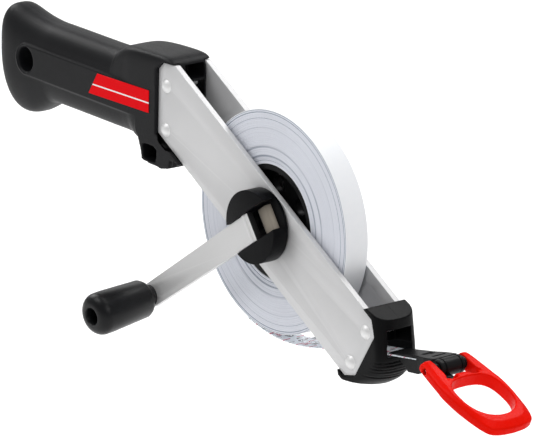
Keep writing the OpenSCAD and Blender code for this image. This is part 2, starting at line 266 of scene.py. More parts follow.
def from_cad(node):
    """A copy of a CAD node in millimetres, with its facets joined up."""
    weld, flat = 0.002, math.radians(0.5)
    shape = bmesh.new()
    shape.from_mesh(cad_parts[node].data)
    bmesh.ops.transform(shape, matrix=TO_MM, verts=shape.verts)
    bmesh.ops.remove_doubles(shape, verts=shape.verts, dist=weld)
    bmesh.ops.dissolve_limit(shape, angle_limit=flat, verts=shape.verts, edges=shape.edges)
    mesh = bpy.data.meshes.new("solid")
    shape.to_mesh(mesh)
    shape.free()
    if "custom_normal" in mesh.attributes:
        mesh.attributes.remove(mesh.attributes["custom_normal"])
    made = bpy.data.objects.new("solid", mesh)
    bpy.context.collection.objects.link(made)
    return made


def piece(name, made, body, finish, replaces=(), sharp=40.0):
    """Turns a solid into a piece of the model that rides on a CAD body."""
    made.name = name
    made.data.name = name
    made.data.transform(TO_METRES)
    made.data.polygons.foreach_set("use_smooth", [True] * len(made.data.polygons))
    made.data.set_sharp_from_angle(angle=math.radians(sharp))
    made.data.materials.clear()
    made.data.materials.append(finish)
    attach(made, body)
    if replaces:
        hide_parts(*replaces)
    return made


# ---------- Materials ----------

class Nodes:
    """A material's node tree, with short calls for the nodes that the finishes use."""

    def __init__(self, name):
        self.material = bpy.data.materials.new(name)
        self.material.use_nodes = True
        self.tree = self.material.node_tree
        self.shader = self.tree.nodes["Principled BSDF"]
        coordinates = self.tree.nodes.new("ShaderNodeTexCoord")
        self.position = coordinates.outputs["Object"]

    def link(self, output, target):
        self.tree.links.new(output, target)

    def feed(self, node, index, value):
        if isinstance(value, bpy.types.NodeSocket):
            self.link(value, node.inputs[index])
        else:
            node.inputs[index].default_value = value

    def math(self, operation, first, second=0.0):
        node = self.tree.nodes.new("ShaderNodeMath")
        node.operation = operation
        self.feed(node, 0, first)
        self.feed(node, 1, second)
        return node.outputs[0]

    def about(self, centre, turn=0.0):
        """Position in metres from a centre given in millimetres, turned about Y."""
        move = self.tree.nodes.new("ShaderNodeVectorMath")
        move.operation = "SUBTRACT"
        self.link(self.position, move.inputs[0])
        move.inputs[1].default_value = [MM * value for value in centre]
        rotate = self.tree.nodes.new("ShaderNodeVectorRotate")
        rotate.rotation_type = "Y_AXIS"
        rotate.inputs["Angle"].default_value = math.radians(turn)
        self.link(move.outputs[0], rotate.inputs["Vector"])
        return rotate.outputs[0]

    def split(self, vector):
        node = self.tree.nodes.new("ShaderNodeSeparateXYZ")
        self.link(vector, node.inputs[0])
        return node.outputs

    def noise(self, scale, vector=None, detail=3.0, stretch=(1.0, 1.0, 1.0)):
        mapping = self.tree.nodes.new("ShaderNodeMapping")
        mapping.inputs["Scale"].default_value = stretch
        self.link(vector or self.position, mapping.inputs["Vector"])
        node = self.tree.nodes.new("ShaderNodeTexNoise")
        node.inputs["Scale"].default_value = scale
        node.inputs["Detail"].default_value = detail
        self.link(mapping.outputs[0], node.inputs["Vector"])
        return node.outputs["Fac"]

    def line_noise(self, scale, along, detail=2.0):
        node = self.tree.nodes.new("ShaderNodeTexNoise")
        node.noise_dimensions = "1D"
        node.inputs["Scale"].default_value = scale
        node.inputs["Detail"].default_value = detail
        self.link(along, node.inputs["W"])
        return node.outputs["Fac"]

    def spread(self, value, low, high, source=(0.3, 0.7)):
        """Maps a share from its source range onto low to high."""
        node = self.tree.nodes.new("ShaderNodeMapRange")
        self.link(value, node.inputs["Value"])
        node.inputs["From Min"].default_value = source[0]
        node.inputs["From Max"].default_value = source[1]
        node.inputs["To Min"].default_value = low
        node.inputs["To Max"].default_value = high
        return node.outputs[0]

    def mix(self, share, first, second):
        """A colour between two others."""
        node = self.tree.nodes.new("ShaderNodeMix")
        node.data_type = "RGBA"
        self.feed(node, 0, share)
        for index, colour in ((6, first), (7, second)):
            self.feed(node, index, colour if isinstance(colour, bpy.types.NodeSocket) else (*colour, 1.0))
        return node.outputs[2]

    def bump(self, height, distance):
        node = self.tree.nodes.new("ShaderNodeBump")
        node.inputs["Distance"].default_value = distance
        self.link(height, node.inputs["Height"])
        self.link(node.outputs[0], self.shader.inputs["Normal"])

    def edges(self, low=0.52, high=0.60):
        """Near 1 on sharp outer edges, which the finishes paint lighter: as wear, and as painted highlights.
        """
        geometry = self.tree.nodes.new("ShaderNodeNewGeometry")
        return self.spread(geometry.outputs["Pointiness"], 0.0, 1.0, (low, high))


def scaled(colour, factor):
    return tuple(min(1.0, channel * factor) for channel in colour)


def plastic(name, colour, roughness, wear_and_highlight=0.35, gloss=0.13):
    """Moulded plastic: a fine grain, faint cloudiness, and edges painted lighter, partly as wear and partly
    as a painted highlight.
    """
    grain, depth = 2200.0, 0.00006
    nodes = Nodes(name)
    cloud = nodes.spread(nodes.noise(45.0), 0.0, 1.0)
    base = nodes.mix(cloud, scaled(colour, 0.88), scaled(colour, 1.14))
    # Convex edges are painted lighter: partly wear, partly a painted highlight.
    worn = nodes.math("MULTIPLY", nodes.edges(), wear_and_highlight)
    shown = nodes.mix(worn, base, scaled(colour, 3.5))
    nodes.link(shown, nodes.shader.inputs["Base Color"])
    grit = nodes.noise(grain, detail=4.0)
    nodes.link(nodes.spread(grit, roughness - 0.06, roughness + 0.06), nodes.shader.inputs["Roughness"])
    nodes.shader.inputs["Specular IOR Level"].default_value = gloss
    nodes.bump(grit, depth)
    return nodes.material


def brushed_metal(name, colour, roughness, turn=0.0, metallic=1.0, black_end=None):
    """Rolled or drawn metal: fine lines along its length, faint clouds, and brighter edges.

    With black_end, the metal is blackened below that distance along its length from the reel's axis.
    """
    depth = 0.00002
    nodes = Nodes(name)
    turned_position = nodes.about((0.0, 0.0, 0.0), turn)
    lines = nodes.noise(900.0, turned_position, detail=4.0, stretch=(0.02, 1.0, 1.0))
    cloud = nodes.noise(30.0)
    blend = nodes.math("ADD", nodes.math("MULTIPLY", lines, 0.5), nodes.math("MULTIPLY", cloud, 0.5))
    base = nodes.mix(nodes.spread(blend, 0.0, 1.0), scaled(colour, 0.96), scaled(colour, 1.03))
    shown = nodes.mix(nodes.math("MULTIPLY", nodes.edges(), 0.4), base, scaled(colour, 1.15))
    if black_end is not None:
        along = nodes.split(nodes.about((REEL_X, 0.0, REEL_Z), turn))[0]
        shown = nodes.mix(nodes.math("LESS_THAN", along, MM * black_end), shown, (0.012, 0.012, 0.013))
    nodes.link(shown, nodes.shader.inputs["Base Color"])
    nodes.link(nodes.spread(lines, roughness - 0.05, roughness + 0.05), nodes.shader.inputs["Roughness"])
    nodes.shader.inputs["Metallic"].default_value = metallic
    nodes.bump(lines, depth)
    return nodes.material


def glossy_plastic(name, colour):
    """Shiny moulded plastic with a faint orange peel, and a painted orange highlight along its creases and
    edges.
    """
    nodes = Nodes(name)
    cloud = nodes.spread(nodes.noise(60.0), 0.0, 1.0)
    base = nodes.mix(cloud, scaled(colour, 0.94), scaled(colour, 1.05))
    # Painted highlight: creases and edges are tinted orange-pink, as if lit.
    crease = (1.0, 0.20, 0.12)
    shown = nodes.mix(nodes.math("MULTIPLY", nodes.edges(0.53, 0.60), 0.35), base, crease)
    nodes.link(shown, nodes.shader.inputs["Base Color"])
    peel = nodes.noise(420.0, detail=2.0)
    nodes.link(nodes.spread(peel, 0.24, 0.32), nodes.shader.inputs["Roughness"])
    nodes.shader.inputs["Specular IOR Level"].default_value = 0.035
    nodes.bump(peel, 0.00001)
    return nodes.material


def wound_tape(name):
    """Edges of the wound tape: pale turns with a few darker ones, and the plain white outer turn."""
    nodes = Nodes(name)
    dark_lines = ((53.5, 0.16), (54.5, 0.1), (50.6, 0.08), (32.4, 0.12), (30.2, 0.1))
    rim_depth = 0.35
    x, _y, z = nodes.split(nodes.about((REEL_X, 0.0, REEL_Z)))
    squares = nodes.math("ADD", nodes.math("MULTIPLY", x, x), nodes.math("MULTIPLY", z, z))
    radius = nodes.math("SQRT", squares)
    turns = nodes.line_noise(2600.0, radius, detail=1.0)
    groups = nodes.line_noise(420.0, radius)
    patches = nodes.noise(26.0, detail=1.0)
    pale, shade = (0.78, 0.80, 0.86), (0.50, 0.52, 0.59)
    dark_turn = nodes.spread(groups, 0.0, 0.75, (0.62, 0.72))
    face = nodes.mix(nodes.spread(turns, 0.0, 0.25, (0.40, 0.65)), pale, shade)
    patchy = nodes.math("MULTIPLY", dark_turn, nodes.spread(patches, 0.2, 1.0))
    face = nodes.mix(patchy, face, (0.28, 0.31, 0.38))
    for line_r, width in dark_lines:
        off_line = nodes.math("ABSOLUTE", nodes.math("SUBTRACT", radius, MM * line_r))
        face = nodes.mix(nodes.math("LESS_THAN", off_line, MM * width), face, (0.20, 0.25, 0.32))
    rim = nodes.mix(nodes.noise(300.0), (0.84, 0.86, 0.89), (0.88, 0.89, 0.91))
    on_rim = nodes.math("GREATER_THAN", radius, MM * (PACK_R - rim_depth))
    nodes.link(nodes.mix(on_rim, face, rim), nodes.shader.inputs["Base Color"])
    nodes.link(nodes.spread(turns, 0.38, 0.52), nodes.shader.inputs["Roughness"])
    nodes.bump(turns, 0.00008)
    return nodes.material


def printed_tape(name):
    """White enamelled steel tape with plain black graduations and a red mark at each centimetre, which glows
    a little as painted light.
    """
    nodes = Nodes(name)
    along, across, _up = nodes.split(nodes.about((REEL_X, 0.0, REEL_Z), TAPE_SLOPE))
    from_edge = nodes.math("SUBTRACT", MM * TAPE_HALF_W, nodes.math("ABSOLUTE", across))

    def ticks(pitch, width, length):
        share = nodes.math("FRACT", nodes.math("DIVIDE", along, MM * pitch))
        near = nodes.math("LESS_THAN", share, width / pitch)
        return nodes.math("MULTIPLY", near, nodes.math("LESS_THAN", from_edge, MM * length))

    def blocks(pitch, start, width, low, high):
        share = nodes.math("FRACT", nodes.math("DIVIDE", along, MM * pitch))
        middle = (start + width / 2) / pitch
        off_middle = nodes.math("ABSOLUTE", nodes.math("SUBTRACT", share, middle))
        in_length = nodes.math("LESS_THAN", off_middle, width / 2 / pitch)
        off_line = nodes.math("ABSOLUTE", nodes.math("SUBTRACT", across, MM * (low + high) / 2))
        in_width = nodes.math("LESS_THAN", off_line, MM * (high - low) / 2)
        worn = nodes.math("GREATER_THAN", nodes.noise(1400.0, detail=1.0), 0.45)
        return nodes.math("MULTIPLY", nodes.math("MULTIPLY", in_length, in_width), worn)

    figures = nodes.math("MAXIMUM", blocks(10.0, 5.2, 3.4, -1.6, 2.0), blocks(10.0, 1.6, 1.6, 0.2, 3.4))
    black = nodes.math("MAXIMUM", nodes.math("MAXIMUM", ticks(1.0, 0.22, 2.2), ticks(5.0, 0.5, 3.4)), figures)
    red = nodes.math("MAXIMUM", ticks(10.0, 0.9, 4.6), blocks(20.0, 11.5, 3.2, -4.4, -0.4))
    enamel = nodes.mix(nodes.noise(180.0), (0.76, 0.82, 0.88), (0.84, 0.88, 0.92))
    printed = nodes.mix(black, enamel, (0.02, 0.02, 0.025))
    shown = nodes.mix(red, printed, (0.42, 0.03, 0.10))
    nodes.link(shown, nodes.shader.inputs["Base Color"])
    # Painted light: the tape glows faintly in its own colours, to lift it out of the shade under the pack.
    nodes.link(shown, nodes.shader.inputs["Emission Color"])
    nodes.shader.inputs["Emission Strength"].default_value = 0.2
    nodes.link(nodes.spread(nodes.noise(900.0), 0.28, 0.40), nodes.shader.inputs["Roughness"])
    nodes.shader.inputs["Coat Weight"].default_value = 0.3
    nodes.bump(nodes.noise(500.0), 0.00002)
    return nodes.material


def label_print(name):
    """Printed foil: red, with one thin white rule that runs with its upper edge."""
    rule_z, rule_slope, half_width = 0.2, 1.3, 0.36
    nodes = Nodes(name)
    _along, _across, up = nodes.split(nodes.about((0.0, 0.0, rule_z), rule_slope))
    on_rule = nodes.math("LESS_THAN", nodes.math("ABSOLUTE", up), MM * half_width)
    fibre = nodes.noise(1500.0)
    red = nodes.mix(fibre, (0.72, 0.0008, 0.0045), (0.80, 0.0012, 0.0060))
    white = nodes.mix(fibre, (0.80, 0.80, 0.80), (0.88, 0.88, 0.88))
    nodes.link(nodes.mix(on_rule, red, white), nodes.shader.inputs["Base Color"])
    nodes.link(nodes.spread(fibre, 0.30, 0.42), nodes.shader.inputs["Roughness"])
    nodes.shader.inputs["Specular IOR Level"].default_value = 0.03
    nodes.bump(fibre, 0.00001)
    return nodes.material


def floor_paint(name):
    """Plain white paint that glows a little, so that the floor has no dark far end."""
    nodes = Nodes(name)
    base = nodes.mix(nodes.noise(3.0), (0.90, 0.90, 0.90), (0.92, 0.92, 0.92))
    nodes.link(base, nodes.shader.inputs["Base Color"])
    nodes.shader.inputs["Roughness"].default_value = 0.9
    nodes.shader.inputs["Emission Color"].default_value = (1.0, 1.0, 1.0, 1.0)
    nodes.shader.inputs["Emission Strength"].default_value = 0.2
    return nodes.material


PLATE_METAL = brushed_metal("plate_aluminium", (0.67, 0.67, 0.675), 0.64, PLATE_SLOPE, metallic=0.7)
ARM_METAL = brushed_metal(
    "arm_aluminium", (0.66, 0.66, 0.66), 0.62, CRANK_ANGLE, metallic=0.6, black_end=-0.7
)
RIVET_METAL = brushed_metal("rivet_aluminium", (0.80, 0.80, 0.80), 0.50, metallic=0.5)
PIN_METAL = brushed_metal("pin_steel", (0.58, 0.58, 0.59), 0.28)
DARK_STEEL = brushed_metal("blackened_steel", (0.03, 0.03, 0.032), 0.42, metallic=0.5)
# Spring steel given a dark, warm colour: painted shade from the boss's slot and a painted warm reflection.
SHADED_SPRING_METAL = brushed_metal("spring_steel", (0.26, 0.23, 0.19), 0.52, CRANK_ANGLE, metallic=0.6)
HANDLE_PLASTIC = plastic("handle_plastic", (0.0070, 0.0072, 0.0082), 0.46)
NOSE_PLASTIC = plastic("nose_plastic", (0.0019, 0.0020, 0.0024), 0.40, gloss=0.09)
HUB_PLASTIC = plastic("hub_plastic", (0.004, 0.004, 0.0045), 0.45)
BOSS_PLASTIC = plastic("boss_plastic", (0.0020, 0.0021, 0.0027), 0.40, gloss=0.07)
KNOB_PLASTIC = plastic("knob_plastic", (0.0045, 0.0048, 0.0056), 0.33, gloss=0.2)
CLIP_PLASTIC = plastic("clip_plastic", (0.0050, 0.0050, 0.0054), 0.40)
BUSH_NYLON = plastic("bush_nylon", (0.62, 0.60, 0.54), 0.45, wear_and_highlight=0.1)
RING_RED = glossy_plastic("ring_red", (0.78, 0.0060, 0.0012))
PACK_ENAMEL = wound_tape("tape_pack_enamel")
TAPE_ENAMEL = printed_tape("tape_enamel")
LABEL_RED = label_print("label_red")


# ---------- Side plates and rivets ----------

def plate_outline(grow=0.0):
    """The side plates' outline about the reel's axis, which the handle's and nose's seats follow."""
    low, high = BAND_BOTTOM - grow, BAND_TOP + grow
    end = PLATE_END + grow
    rear, top = PLATE_REAR_X - grow, PLATE_TOP_Z + grow
    slope = math.radians(PLATE_SLOPE)

    def on_line(across, x):
        return (x, (across - x * math.sin(slope)) / math.cos(slope))

    def at_height(across, z):
        return ((across - z * math.cos(slope)) / math.sin(slope), z)

    return [
        on_line(low, rear),
        on_band(end - PLATE_CHAMFER, low),
        on_band(end, low + PLATE_CHAMFER),
        on_band(end, high - PLATE_CHAMFER),
        on_band(end - PLATE_CHAMFER, high),
        at_height(high, top),
        (rear + PLATE_CORNER, top),
        (rear, top - PLATE_CORNER),
    ]


def make_plates():
    for name, side in (("near_side_plate", -1), ("far_side_plate", 1)):
        plate = bevelled(from_cad(name), 0.45, segments=3)
        piece("frame_" + name, plate, "frame", PLATE_METAL, [name])


def rivet_places():
    return [(-78.4, 50.0), (-78.4, 27.8), on_band(82.3, 8.7), on_band(82.3, -11.8)]


def make_rivets():
    head_r, head_h, shank_r = 3.5, 1.8, 2.0
    sphere_r = (head_r ** 2 + head_h ** 2) / (2 * head_h)
    reach = math.degrees(math.asin(head_r / sphere_r))
    top = PLATE_OUTER_Y + head_h
    dome = [(x, top - sphere_r + y) for x, y in arc((0, 0), sphere_r, 90, 90 - reach, 10)]
    profile = [(r, -y) for r, y in dome] + [(head_r, -PLATE_OUTER_Y), (shank_r, -PLATE_OUTER_Y)]
    profile += [(r, -y) for r, y in reversed(profile)]
    rivets = [turned(profile, AT_REEL, centre, segments=40) for centre in rivet_places()]
    piece("frame_rivets_domed", join(*rivets), "frame", RIVET_METAL, ["frame_rivets"])


# ---------- Handle ----------

def superellipse(low, high, half_width, upper_power, lower_power):
    """A rounded cross-section in Y and Z: power 2 is an ellipse, and higher powers are squarer."""
    count = 64
    middle, half_height = (low + high) / 2, (high - low) / 2
    ring = []
    for i in range(count):
        angle = 2 * math.pi * i / count
        c, s = math.cos(angle), math.sin(angle)
        power = upper_power if s > 0 else lower_power
        ring.append((
            half_width * math.copysign(abs(c) ** (2 / power), c),
            middle + half_height * math.copysign(abs(s) ** (2 / power), s),
        ))
    return ring


def swept(rows):
    """A body along X from rows of X, lowest Z, highest Z, half the width, and upper and lower squareness."""
    rings = []
    for x, *row in smooth_table(rows, 4):
        rings.append([(x, y, z) for y, z in superellipse(*row)])
    return loft(rings)


def grip_and_head():
    """The swollen rear end with its finger stop, the round grip, and the square head in front of it."""
    grip = [
        (-71.0, 3.0, 9.5, 2.5), (-70.2, -3.0, 15.0, 6.0), (-68.4, -10.5, 19.6, 8.6),
        (-65.0, -19.5, 23.0, 10.8), (-61.0, -25.8, 24.2, 11.9), (-56.0, -29.4, 23.6, 12.4),
        (-50.0, -30.6, 22.2, 12.5), (-43.0, -29.4, 20.9, 12.5), (-36.0, -25.9, 20.1, 12.4),
        (-31.0, -22.8, 19.8, 12.4), (-26.5, -20.5, 19.8, 12.4), (-18.0, -20.0, 19.8, 12.4),
        (22.0, -20.0, 19.8, 12.4),
    ]
    head = [
        (28.0, -20.0, 20.6, 12.4, 3.2, 2.9), (33.0, -20.0, 23.2, 12.5, 4.2, 2.9),
        (38.0, -20.0, 25.0, 12.6, 6.0, 3.0), (44.0, -20.0, 26.0, 12.9, 8.0, 3.6),
        (52.0, -20.0, 26.5, 13.0, 10.0, 8.0), (60.0, -20.0, 26.8, 13.0, 11.0, 9.0),
        (71.0, -20.0, 26.8, 13.0, 12.0, 9.0), (76.0, -20.0, 25.6, 12.9, 12.0, 9.0),
        (78.6, -20.0, 22.8, 12.4, 12.0, 9.0), (79.2, -20.0, 18.0, 11.8, 12.0, 9.0),
    ]
    roundness = 2.9
    return swept([(*row, roundness, roundness) for row in grip] + head)


def chin():
    """The block below the head, in the side view's outline."""
    outline = [
        (48.6, -4), (49.6, -15.4), (51.3, -16.8), (54.1, -23.9), (55, -28.3), (61.6, -29.2), (70.9, -29.6),
        (76, -28.4), (81.2, -26.4), (87, -22.6), (81, -12), (79.6, 5), (60, 5),
    ]
    return prism(outline, -HEAD_HALF_W, HEAD_HALF_W)


def side_strip():
    """The flat along each side, which ends in a round boss about the hanging hole."""
    front, edge = 60, 0.7

    def ring(y, half_height):
        outline = arc((HANG_X, 0), half_height, 90, 270, 24)
        outline += [(front, -half_height), (front, half_height)]
        return [(x, y, z) for x, z in outline]

    return loft([
        ring(-HEAD_HALF_W, STRIP_HALF_H - edge),
        ring(edge - HEAD_HALF_W, STRIP_HALF_H),
        ring(HEAD_HALF_W - edge, STRIP_HALF_H),
        ring(HEAD_HALF_W, STRIP_HALF_H - edge),
    ])


def hanging_hole():
    """The cutter of the hanging hole, which flares at both ends."""
    flare = 0.9
    return turned(
        [
            (HANG_R + flare + CUT, -HEAD_HALF_W - CUT), (HANG_R, flare - HEAD_HALF_W),
            (HANG_R, HEAD_HALF_W - flare), (HANG_R + flare + CUT, HEAD_HALF_W + CUT),
        ],
        centre=(HANG_X, 0.0),
    )


def head_openings():
    """Moulded pockets: two in the front, two on each side of the chin, and slots below it."""
    depth, width = (66, 90), (-4.9, 6.8)
    openings = [block(depth, width, (16, 23.4)), block(depth, width, (-2, 14.6))]
    recess = [(67.6, -11.7), (68.9, -15.8), (74.6, -19.2), (80.2, -18.9), (82.6, -20), (95, -28), (95, -10)]
    window = [
        (55.4, -20.2), (59.4, -19.6), (63.8, -19.6), (66.7, -20.8), (66.4, -27.6), (61.2, -28), (56.4, -27.2),
    ]
    for low, high in ((-20, -2), (2, 20)):
        openings.append(prism(window, low, high))
    for side in SIDES:
        mouth = [(x, side * (HEAD_HALF_W + 0.6), z) for x, z in recess]
        floor = [(x - 7.4, side * 7.5, z - 3.0) for x, z in recess]
        openings.append(loft([mouth, floor]))
    first, pitch, width, lean = 75.4, 3.5, 2.1, 2.2
    for rib in range(3):
        low = first + pitch * rib
        high = low + lean
        slot = [(low, -32), (low + width, -32), (high + width, -23.6), (high, -23.6)]
        openings.append(prism(slot, -20, 20))
    return openings


def plate_seats():
    """Cutters that let the side plates into the handle and the nose."""
    outline = plate_outline(grow=0.2)
    start, end = PLATE_INNER_Y - 0.05, 20
    return [prism(outline, -end, -start, AT_REEL), prism(outline, start, end, AT_REEL)]


def half_space(side):
    """Everything on one side of the middle, less a hairline for the seam."""
    seam = 0.04
    return block((-200, 300), (seam, 60) if side > 0 else (-60, -seam), (-200, 200))


def split_halves(whole):
    near, far = whole, duplicate(whole)
    return keep_inside(near, half_space(-1)), keep_inside(far, half_space(1))


def make_handle():
    handle = merge(grip_and_head(), chin(), side_strip())
    carve(handle, hanging_hole(), *head_openings(), *plate_seats())
    moulded(handle, 0.5, 4)
    near, far = split_halves(handle)
    for name, half in (("near", near), ("far", far)):
        node = f"handle_{name}_half"
        piece(f"grip_{name}_half", half, "frame", HANDLE_PLASTIC, [node])


def make_label():
    label = bevelled(from_cad("label_plate"), 0.12, segments=1)
    piece("grip_label", label, "frame", LABEL_RED, ["label_plate"])


# ---------- Nose ----------

def nose_rows():
    """The nose's front at each height: Z, how far forward it stands, how deep it curves, squareness."""
    rows = [
        (-20.0, 86.6, 8.0, 2.6), (-25.0, 87.0, 8.0, 2.6), (-34.0, 87.8, 7.0, 2.9), (-44.0, 88.5, 6.0, 3.2),
        (-50.0, 88.0, 8.0, 2.7), (-56.0, 84.5, 12.0, 2.2), (-59.9, 79.0, 13.0, 2.0), (-63.0, 73.0, 13.0, 2.0),
    ]
    return smooth_table(rows, 5)


def nose_plan(row, back=0.0):
    """Plan of the nose's front at one height, from the near side to the far side."""
    _z, front, depth, power = row
    steps = 32
    half_width = 12.0
    points = []
    for i in range(steps + 1):
        side = math.sin(math.pi * (i / steps - 0.5))
        reach = max(0.0, 1 - abs(side) ** power) ** (1 / power)
        points.append((front - back - depth * (1 - reach), half_width * side))
    return points


def nose_body():
    """The curved front, cut to the nose's outline in the side view."""
    rings = []
    for row in nose_rows():
        plan = [(40, -12)] + nose_plan(row) + [(40, 12)]
        rings.append([(x, y, row[0]) for x, y in plan])
    outline = [
        (76.8, -21.3), (92, -27.9), (92, -59.8), (80.5, -59.8), (60.5, -61.2), (57.5, -59.6), (56.8, -57),
        (61, -46), (69.5, -30), (74, -22.5),
    ]
    return keep_inside(loft(rings, AT_REEL), prism(outline, -14, 14, AT_REEL))


def nose_openings():
    """The mouth, the tape's channel, and grooves that follow the front's curve."""
    first_groove, pitch, groove_depth, half_height = -46.2, 1.7, 0.55, 0.4
    mouth = block((76, 95), (-7.3, 7.3), (-43.2, -30.6), AT_REEL)
    channel = block((40, 100), (-7.6, 7.6), (LEAD_W - 1.2, LEAD_W + 3.8), AT_TAPE)
    rows = nose_rows()
    grooves = []
    for groove in range(7):
        z = first_groove - pitch * groove
        row = min(rows, key=lambda candidate: abs(candidate[0] - z))
        plan = nose_plan(row, back=groove_depth)
        plan += [(x + 12, y) for x, y in reversed(plan)]
        grooves.append(plan_prism(plan, z - half_height, z + half_height, AT_REEL))
    return [mouth, channel, *grooves]


def make_nose():
    nose = carve(nose_body(), *nose_openings(), *plate_seats())
    moulded(nose, 0.32, 3)
    near, far = split_halves(nose)
    for name, half in (("near", near), ("far", far)):
        node = f"nose_{name}_half"
        piece(f"nose_{name}_shell", half, "frame", NOSE_PLASTIC, [node])


# ---------- Reel ----------

def make_pack():
    """The wound tape: each turn's edge stands at its own height on both faces."""
    random.seed(30)
    turns = 62
    step = (PACK_R - HUB_R) / turns
    edge, shoulder = 0.05, 0.10
    near, far = [], []
    for turn in range(turns):
        inner = HUB_R + 0.06 + step * turn
        outer = inner + step * 0.82
        for face in (near, far):
            height = PACK_HALF_W - random.uniform(0.02, 0.2)
            if random.random() < 0.08:
                height -= 0.25
            face += [
                (inner, height - shoulder), (inner + edge, height),
                (outer - edge, height), (outer, height - shoulder),
            ]
    profile = [(r, -y) for r, y in near]
    profile += [(PACK_R, 0.2 - PACK_HALF_W), (PACK_R, PACK_HALF_W - 0.2)]
    profile += [(r, y) for r, y in reversed(far)]
    pack = turned(profile, AT_REEL, closed=True, segments=160)
    piece("reel_wound_tape", pack, "reel", PACK_ENAMEL, ["tape_pack"], sharp=25.0)


def make_reel_parts():
    parts = [
        ("reel_hub", "reel", HUB_PLASTIC, "hub_plastic", 0.5),
        ("crank_boss", "reel", BOSS_PLASTIC, "boss_plastic", 0.9),
        ("reel_end_cap", "reel", BOSS_PLASTIC, "boss_plastic", 0.6),
        ("reel_screw", "reel", PIN_METAL, "pin_steel", 0.25),
        ("crank_pivot_pin", "reel", PIN_METAL, "pin_steel", 0.15),
        ("near_bush", "frame", BUSH_NYLON, "bush_nylon", 0.15),
        ("far_bush", "frame", BUSH_NYLON, "bush_nylon", 0.15),
    ]
    for node, body, finish, slot, width in parts:
        piece(node + "_finished", bevelled(from_cad(node), width, 3), body, finish, [node])


def make_spring():
    """A bowed strip in the boss's slot."""
    top, floor, thick = -16.2, -13.4, 0.5
    outline = [
        (-12.4, floor), (-11.8, floor), (-10.9, top + thick), (-5.4, top + thick), (-3.5, top + 1.2 + thick),
        (-3.2, top + 1.2), (-5.2, top), (-11.3, top),
    ]
    half_width = 6.2
    strip = loft([[(x, y, z) for x, y in outline] for z in (-half_width, half_width)], AT_CRANK)
    spring = bevelled(strip, 0.12, segments=2)
    piece("reel_detent_spring", spring, "reel", SHADED_SPRING_METAL, ["detent_spring"])


# ---------- Crank ----------

def make_crank():
    arm = bevelled(from_cad("crank_arm"), 0.35, segments=3)
    piece("crank_lever", arm, "crank", ARM_METAL, ["crank_arm"])
    spindle = bevelled(from_cad("knob_spindle"), 0.2, segments=2)
    piece("crank_spindle", spindle, "crank", DARK_STEEL, ["knob_spindle"])


def make_knob():
    """A plain turned grip: a narrow root, a slight taper, and a round outer end with a deep bore."""
    crown = 5.6
    profile = [(SPINDLE_BORE_R, -KNOB_START - 0.3), (KNOB_ROOT_R - 2.4, -KNOB_START)]
    profile += [(KNOB_ROOT_R - 0.9, -KNOB_START - 0.5), (KNOB_ROOT_R, -KNOB_START - 2.2)]
    profile += [(KNOB_R, -KNOB_END + crown + 4)]
    profile += [(r, -y) for r, y in arc((KNOB_R - crown, KNOB_END - crown), crown, 0, 88, 12)]
    profile += [(KNOB_BORE_R + 0.6, -KNOB_END), (KNOB_BORE_R + 0.05, -KNOB_END + 0.7)]
    profile += [(KNOB_BORE_R, KNOB_BORE_DEPTH - KNOB_END), (SPINDLE_BORE_R, KNOB_BORE_DEPTH - KNOB_END + 0.1)]
    knob = turned(profile, AT_KNOB, closed=True, segments=72)
    piece("knob_grip", knob, "knob", KNOB_PLASTIC, ["crank_knob"], sharp=50.0)


# ---------- Tape end ----------

def tape_strip(path):
    """A strip of tape with rounded edges, whose middle line follows a path in the tape's frame."""
    edge = 0.1
    outline = [
        (-TAPE_HALF_W, 0.0), (edge - TAPE_HALF_W, -TAPE_THICK / 2), (TAPE_HALF_W - edge, -TAPE_THICK / 2),
        (TAPE_HALF_W, 0.0), (TAPE_HALF_W - edge, TAPE_THICK / 2), (edge - TAPE_HALF_W, TAPE_THICK / 2),
    ]
    places = smooth_table(path, 4)
    return loft([[(x, y, level + z) for y, z in outline] for x, level in places], AT_TAPE)


def make_tape():
    """The last turn hangs slightly loose below the pack, then rises to the mouth under the lead."""
    under_lead = LEAD_W - 0.6
    run = tape_strip([
        (-26.0, -49.2), (-20.0, -51.9), (-14.0, -54.2), (-8.0, -56.1), (0.0, -57.8), (8.0, -58.7),
        (16.0, -59.0), (26.0, -58.7), (38.0, -57.9), (52.0, -57.1), (65.0, under_lead - 0.1),
        (MOUTH_T - 2, under_lead),
    ])
    piece("tape_run_strip", run, "frame", TAPE_ENAMEL, ["tape_run"])
    rear = MOUTH_T - 65
    lead = tape_strip([
        (rear, LEAD_W - 0.24), (rear + 8, LEAD_W - 0.16), (rear + 16, LEAD_W - 0.04), (rear + 24, LEAD_W),
        (MOUTH_T, LEAD_W), (MOUTH_T + 20, LEAD_W),
    ])
    piece("tape_lead_strip", lead, "tape_end", TAPE_ENAMEL, ["tape_lead"])


